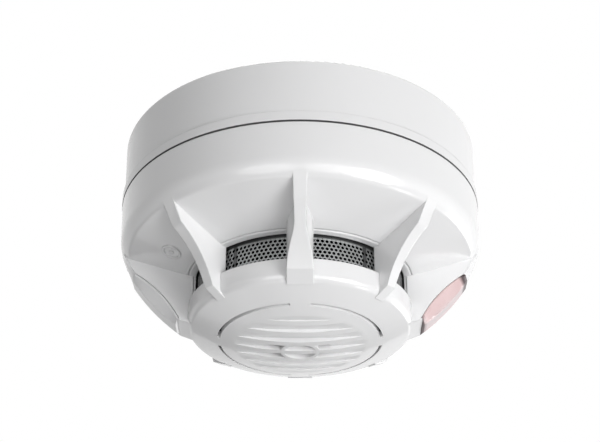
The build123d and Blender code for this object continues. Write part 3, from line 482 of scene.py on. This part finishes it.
# %% Node trees for geometry
class Plan(Tree):
    """A geometry tree with named sizes, turned into a plain mesh by `build`."""

    def __init__(self, name, sizes):
        self.tree = bpy.data.node_groups.new(name, "GeometryNodeTree")
        face = self.tree.interface
        self.sizes = sizes
        self.ids = {}
        for title, value in sizes.items():
            kind = "NodeSocketInt" if isinstance(value, int) else "NodeSocketFloat"
            self.ids[title] = face.new_socket(title, in_out="INPUT", socket_type=kind).identifier
        face.new_socket("Geometry", in_out="OUTPUT", socket_type="NodeSocketGeometry")
        self.inlet = self.tree.nodes.new("NodeGroupInput")
        self.outlet = self.tree.nodes.new("NodeGroupOutput")

    def size(self, title):
        return Wire(self, self.inlet.outputs[title])

    def place(self, x=0.0, y=0.0, z=0.0):
        return self.add("ShaderNodeCombineXYZ", {}, {"X": x, "Y": y, "Z": z})

    def build(self, name, geometry, material, slot, body, *replaced):
        """Run the tree once and keep its result as a plain piece."""
        solid = self.add("GeometryNodeRealizeInstances", {}, {0: geometry})
        painted = self.add(
            "GeometryNodeSetMaterial", {}, {"Geometry": solid, "Material": material}
        )
        self.tree.links.new(painted.socket, self.outlet.inputs[0])
        host = bpy.data.objects.new(name + "_host", bpy.data.meshes.new(name + "_host"))
        bpy.context.scene.collection.objects.link(host)
        maker = host.modifiers.new("plan", "NODES")
        maker.node_group = self.tree
        for title, value in self.sizes.items():
            maker[self.ids[title]] = value
        ready = host.evaluated_get(bpy.context.evaluated_depsgraph_get())
        mesh = bpy.data.meshes.new_from_object(ready)
        mesh.name = name
        bpy.data.objects.remove(host)
        piece = bpy.data.objects.new(name, mesh)
        bpy.context.scene.collection.objects.link(piece)
        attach(piece, body)
        if replaced:
            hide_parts(*replaced)
        return piece


# %% [markdown]
# ## Insect screens
# Behind the windows stand two curved sheets of steel, punched with staggered round holes
# of about a millimetre, which keep insects out of the chamber. An image could only fake
# the holes, and cutting hundreds of cylinders out of a sheet would be slow and leave bad
# faces. So a hexagonal tile with a round hole is laid on a staggered grid, given its
# thickness and bent round the chamber last. Tiles without a hole make the rims along the
# top and the foot; they start with a pinhole, which a merge closes. Either side of each
# sheet's middle, every second row has a tile without a hole; that strip and the top rim
# are painted darker in the steel's finish, as shade.
#
# The tiles' corners point at their neighbours, where their flat sides would fit. So
# neighbours overlap a little, a small gap stays where three meet, and each tile is a
# closed piece of its own. Tiles turned by 30 degrees join into one closed sheet.

# %% Perforated sheets
screen_clearance = 0.0001
pinhole_share = 0.02
pinhole_merge = 2e-5
sheet_sizes = {
    "radius": screen_radius - screen_clearance,
    "bottom": screen_low[2],
    "height": screen_high[2] - screen_low[2],
    "half_arc": radians(56.0),
    "pitch": 0.00136,
    "hole_radius": 0.00053,
    "gauge": 0.00016,
    "strip": strip_bearing,
    "strip_half": radians(0.9),
    "top_rim": screen_rim_height,
    "low_rim": 0.0006,
}
sheet = Plan("perforated sheet", sheet_sizes)
pitch = sheet.size("pitch")
row_step = pitch * (3 ** 0.5 / 2)
sheet_length = sheet.size("half_arc") * 2 * sheet.size("radius")
columns = sheet.add("FunctionNodeFloatToInt", {}, {0: sheet_length / pitch})
rows = sheet.add("FunctionNodeFloatToInt", {}, {0: sheet.size("height") / row_step})


def tile_ring(holed):
    """Hexagonal tile: twelve quads round a hole, or round a pinhole to be closed."""
    strip = sheet.add("GeometryNodeMeshGrid", {}, {
        "Size X": 2 * pi, "Size Y": 1.0, "Vertices X": 13, "Vertices Y": 2,
    })
    where = sheet.add("GeometryNodeInputPosition")
    angle = sheet.coordinate(where, "X")
    outer = sheet.coordinate(where, "Y") > 0.0
    turn = (angle + (3 * pi + pi / 6)) % (pi / 3) - pi / 6
    to_edge = pitch * 0.5 / turn.apply("COSINE")
    to_hole = sheet.size("hole_radius") * (1.0 if holed else pinhole_share)
    reach = outer * to_edge + (1 - outer) * to_hole
    spot = sheet.place(reach * angle.apply("SINE"), reach * angle.apply("COSINE"))
    shaped = sheet.add("GeometryNodeSetPosition", {}, {"Geometry": strip, "Position": spot})
    return sheet.add("GeometryNodeMergeByDistance", {}, {
        "Geometry": shaped, "Distance": same_point,
    })


lattice = sheet.add("GeometryNodeMeshGrid", {}, {
    "Size X": 1.0, "Size Y": 1.0, "Vertices X": columns, "Vertices Y": rows,
})
index = sheet.add("GeometryNodeInputIndex")
column = (index / rows).apply("FLOOR")
row = index % rows
along = (column - (columns - 1) * 0.5 + (row % 2) * 0.5 - 0.25) * pitch
up = (row - (rows - 1) * 0.5) * row_step
staggered = sheet.add("GeometryNodeSetPosition", {}, {
    "Geometry": lattice, "Position": sheet.place(along, up),
})
bearing = along / sheet.size("radius")
from_strip = (bearing.apply("ABSOLUTE") - sheet.size("strip")).apply("ABSOLUTE")
open_tile = (
    (from_strip > sheet.size("strip_half"))
    * (up < (sheet.size("height") / 2 - sheet.size("top_rim") - pitch / 2))
    * (up > (sheet.size("low_rim") + pitch / 2 - sheet.size("height") / 2))
)
laid = [
    sheet.add("GeometryNodeInstanceOnPoints", {}, {
        "Points": staggered, "Instance": tile_ring(holed),
        "Selection": chosen > 0.5,
    })
    for holed, chosen in ((True, open_tile), (False, 1 - open_tile))
]
flat = sheet.add("GeometryNodeRealizeInstances", {}, {
    0: sheet.add("GeometryNodeJoinGeometry", {}, {0: laid}),
})
tiles = sheet.add("GeometryNodeMergeByDistance", {}, {
    "Geometry": flat, "Distance": pinhole_merge,
})
thick = sheet.add("GeometryNodeExtrudeMesh", {"mode": "FACES"}, {
    "Mesh": tiles, "Offset Scale": sheet.size("gauge"), "Individual": False,
})
back = sheet.add("GeometryNodeFlipFaces", {}, {0: tiles})
closed = sheet.add("GeometryNodeMergeByDistance", {}, {
    "Geometry": sheet.add("GeometryNodeJoinGeometry", {}, {0: [thick, back]}),
    "Distance": same_point,
})
print("sheet planned: pitch", sheet_sizes["pitch"] * 1000, "mm")

# %% Bend both sheets round the chamber
def bent(middle):
    """The flat sheet bent round the axis, with its middle at an angle from -Y."""
    where = sheet.add("GeometryNodeInputPosition")
    along_sheet, up_sheet, out_of_sheet = [sheet.coordinate(where, axis) for axis in "XYZ"]
    swing = along_sheet / sheet.size("radius") + middle
    reach = sheet.size("radius") - sheet.size("gauge") + out_of_sheet
    spot = sheet.place(
        reach * swing.apply("SINE"),
        reach * swing.apply("COSINE") * -1.0,
        up_sheet + sheet.size("bottom") + sheet.size("height") / 2,
    )
    return sheet.add("GeometryNodeSetPosition", {}, {"Geometry": closed, "Position": spot})


both = sheet.add("GeometryNodeJoinGeometry", {}, {0: [bent(0.0), bent(pi)]})
screen_piece = sheet.build(
    "insect_screen_sheets", both, finishes["screen_steel"], "screen_steel",
    nodes["insect_screens"]["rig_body"], "insect_screens",
)
print("screens:", len(screen_piece.data.polygons), "faces")

# %% [markdown]
# ## Ground, backdrop and lamps
# The detector is shown on white. The world is white to the camera, to glossy rays and to
# transmitted ones, but gives the object only a soft fill. The lamps in front stand low, so
# that the walls of the nose's grooves shine. The right side is lit most, the left only
# weakly, and an overhead lamp lights the ceiling side. A floor of pale paper lies well
# below; it glows, to the camera alone, so that it shows pale from above.

# %% Stage and light
lamp_aim = Vector((0, 0, -0.035))
fill_strength = 0.15
floor_half = 4
floor_level = -1.3


def soft_lamp(name, bearing, rise, size, power):
    """Round lamp a metre away: bearing in degrees from the front, rise from level."""
    turn, tilt = radians(bearing), radians(rise)
    away = Vector((sin(turn) * cos(tilt), -cos(turn) * cos(tilt), sin(tilt)))
    data = bpy.data.lights.new(name, "AREA")
    data.shape = "DISK"
    data.size = size
    data.energy = power
    lamp = bpy.data.objects.new(name, data)
    lamp.location = lamp_aim + away
    lamp.rotation_euler = away.to_track_quat("Z", "Y").to_euler()
    bpy.context.scene.collection.objects.link(lamp)


soft_lamp("right front lamp", 45, -20, 0.6, 6.4)
soft_lamp("front lamp", 20, -20, 0.6, 1.8)
soft_lamp("left front lamp", -20, -20, 0.6, 1.8)
soft_lamp("right back lamp", 125, -20, 0.6, 4.4)
soft_lamp("left back lamp", -135, -45, 0.6, 0.5)
soft_lamp("low right lamp", 80, -46, 0.2, 0.7)
soft_lamp("overhead lamp", 180, 84, 0.8, 6.0)

world = bpy.data.worlds.new("studio")
bpy.context.scene.world = world
world.use_nodes = True
sky = world.node_tree
sky.nodes.clear()
rays = sky.nodes.new("ShaderNodeLightPath")
seen = rays.outputs["Is Camera Ray"]
for other in ("Is Glossy Ray", "Is Transmission Ray"):
    either = sky.nodes.new("ShaderNodeMath")
    either.operation = "MAXIMUM"
    sky.links.new(seen, either.inputs[0])
    sky.links.new(rays.outputs[other], either.inputs[1])
    seen = either.outputs[0]
strength = sky.nodes.new("ShaderNodeMapRange")
strength.inputs["To Min"].default_value = fill_strength
strength.inputs["To Max"].default_value = 1.0
sky.links.new(seen, strength.inputs["Value"])
light = sky.nodes.new("ShaderNodeBackground")
light.inputs["Color"].default_value = (1, 1, 1, 1)
sky.links.new(strength.outputs[0], light.inputs["Strength"])
sky_output = sky.nodes.new("ShaderNodeOutputWorld")
sky.links.new(light.outputs[0], sky_output.inputs["Surface"])

floor_mesh = bpy.data.meshes.new("floor")
corners = [(-1, -1), (1, -1), (1, 1), (-1, 1)]
floor_mesh.from_pydata(
    [(x * floor_half, y * floor_half, floor_level) for x, y in corners], [], [(0, 1, 2, 3)]
)
floor = bpy.data.objects.new("floor", floor_mesh)
bpy.context.scene.collection.objects.link(floor)
paper = Finish("floor paper")
looked_at = paper.add("ShaderNodeLightPath", output="Is Camera Ray")
floor_mesh.materials.append(paper.paint({
    "Base Color": paper.mix(paper.noise(30), (0.88, 0.88, 0.88), (0.90, 0.90, 0.90)),
    "Roughness": 0.8,
    "Emission Color": paper.mix(looked_at, (0.0, 0.0, 0.0), (0.6, 0.6, 0.6)),
    "Emission Strength": 1.0,
}))
bpy.context.scene.view_settings.view_transform = "Standard"
